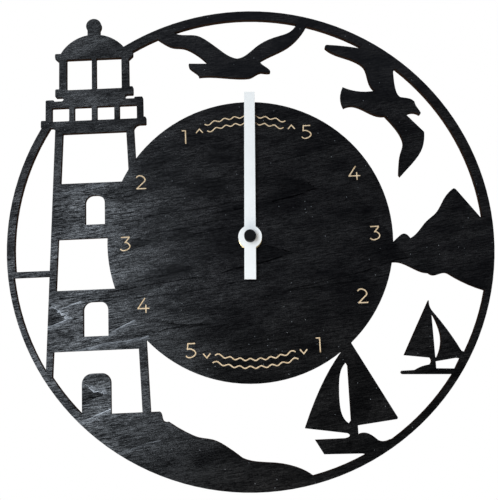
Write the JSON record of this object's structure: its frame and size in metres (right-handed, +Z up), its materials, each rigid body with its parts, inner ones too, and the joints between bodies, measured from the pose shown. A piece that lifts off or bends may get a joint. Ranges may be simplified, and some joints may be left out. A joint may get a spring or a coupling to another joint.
{
  "type": "tide clock",
  "caption": "Round wall tide clock: black fretwork plywood panel with lighthouse, gulls and boats, engraved dial, one white hand, quartz tide movement behind.",
  "frame": {"origin": "centre of the hanger hole on the wall plane, at the back of the movement case", "axes": "+Z up, the dial faces -Y, +X to the right seen from the front, the wall is at y = 0"},
  "size_m": [0.3, 0.033, 0.3],
  "materials": {
    "stained_ply": "black stain on plywood, matt, cut edges scorched",
    "hand_lacquer": "white lacquer on sheet",
    "cap_plastic": "moulded, semi-gloss",
    "brass": "turned and stamped",
    "gasket_rubber": "matt",
    "case_plastic": "moulded, fine spark texture",
    "plate_plastic": "moulded, natural",
    "gear_plastic": "moulded acetal, satin",
    "spring_steel": "stamped",
    "magnet": "sintered, dark",
    "bobbin_plastic": "moulded",
    "copper_wire": "enamelled wire",
    "board_laminate": "coated laminate",
    "chip_resin": "moulded resin",
    "crystal_can": "drawn can",
    "contact_plate": "nickel plated",
    "cell_sleeve": "plain printed sleeve, bare ends"
  },
  "bodies": {
    "frame": {"front_panel": "stained_ply", "dial_washer": "brass", "dial_nut": "brass", "threaded_bushing": "brass", "rubber_gasket": "gasket_rubber", "front_case": "case_plastic", "middle_plate": "plate_plastic", "rear_cover": "case_plastic", "stator": "spring_steel", "coil_core": "spring_steel", "coil_bobbin": "bobbin_plastic", "coil_winding": "copper_wire", "circuit_board": "board_laminate", "chip": "chip_resin", "quartz_crystal": "crystal_can", "positive_contact": "contact_plate", "negative_contact": "contact_plate"},
    "hand": {"hour_wheel": "gear_plastic", "hand_bush": "brass", "hand_blade": "hand_lacquer", "shaft_cap": "cap_plastic"},
    "minute": {"minute_wheel": "gear_plastic"},
    "cannon": {"cannon_pinion": "gear_plastic"},
    "knob": {"set_knob": "gear_plastic"},
    "rotor": {"rotor_pinion": "gear_plastic", "rotor_magnet": "magnet"},
    "fifth": {"fifth_wheel": "gear_plastic"},
    "fourth": {"fourth_wheel": "gear_plastic"},
    "third": {"third_wheel": "gear_plastic"},
    "centre": {"centre_wheel": "gear_plastic", "friction_spring": "spring_steel"},
    "cell": {"battery_cell": "cell_sleeve"}
  },
  "joints": [
    {"name": "hand_turn", "type": "hinge", "parent": "frame", "child": "hand", "pos_m": [0, -0.02, -0.03399], "axis": [0, 1, 0], "continuous": true},
    {"name": "minute_turn", "type": "hinge", "parent": "frame", "child": "minute", "pos_m": [0.00987, -0.012, -0.0304], "axis": [0, 1, 0], "continuous": true},
    {"name": "cannon_turn", "type": "hinge", "parent": "frame", "child": "cannon", "pos_m": [0, -0.011, -0.03399], "axis": [0, 1, 0], "continuous": true},
    {"name": "knob_turn", "type": "hinge", "parent": "frame", "child": "knob", "pos_m": [0.01896, -0.005, -0.02515], "axis": [0, 1, 0], "continuous": true},
    {"name": "rotor_turn", "type": "hinge", "parent": "frame", "child": "rotor", "pos_m": [0.00413, -0.005, -0.0207], "axis": [0, 1, 0], "continuous": true},
    {"name": "fifth_turn", "type": "hinge", "parent": "frame", "child": "fifth", "pos_m": [-0.00304, -0.005, -0.02133], "axis": [0, 1, 0], "continuous": true},
    {"name": "fourth_turn", "type": "hinge", "parent": "frame", "child": "fourth", "pos_m": [-0.00993, -0.005, -0.02254], "axis": [0, 1, 0], "continuous": true},
    {"name": "third_turn", "type": "hinge", "parent": "frame", "child": "third", "pos_m": [-0.00846, -0.006, -0.03091], "axis": [0, 1, 0], "continuous": true},
    {"name": "centre_turn", "type": "hinge", "parent": "frame", "child": "centre", "pos_m": [0, -0.007, -0.03399], "axis": [0, 1, 0], "continuous": true},
    {"name": "cell_slide", "type": "slide", "parent": "frame", "child": "cell", "axis": [0, 1, 0], "range_m": [0, 0.018]}
  ],
  "couplings": [
    {"joint": "minute_turn", "follows": "hand_turn", "ratio": -4},
    {"joint": "cannon_turn", "follows": "hand_turn", "ratio": 12},
    {"joint": "knob_turn", "follows": "hand_turn", "ratio": 12},
    {"joint": "fifth_turn", "follows": "rotor_turn", "ratio": -0.2},
    {"joint": "fourth_turn", "follows": "rotor_turn", "ratio": 0.033333},
    {"joint": "third_turn", "follows": "rotor_turn", "ratio": -0.0044444},
    {"joint": "centre_turn", "follows": "rotor_turn", "ratio": 0.00055556}
  ]
}
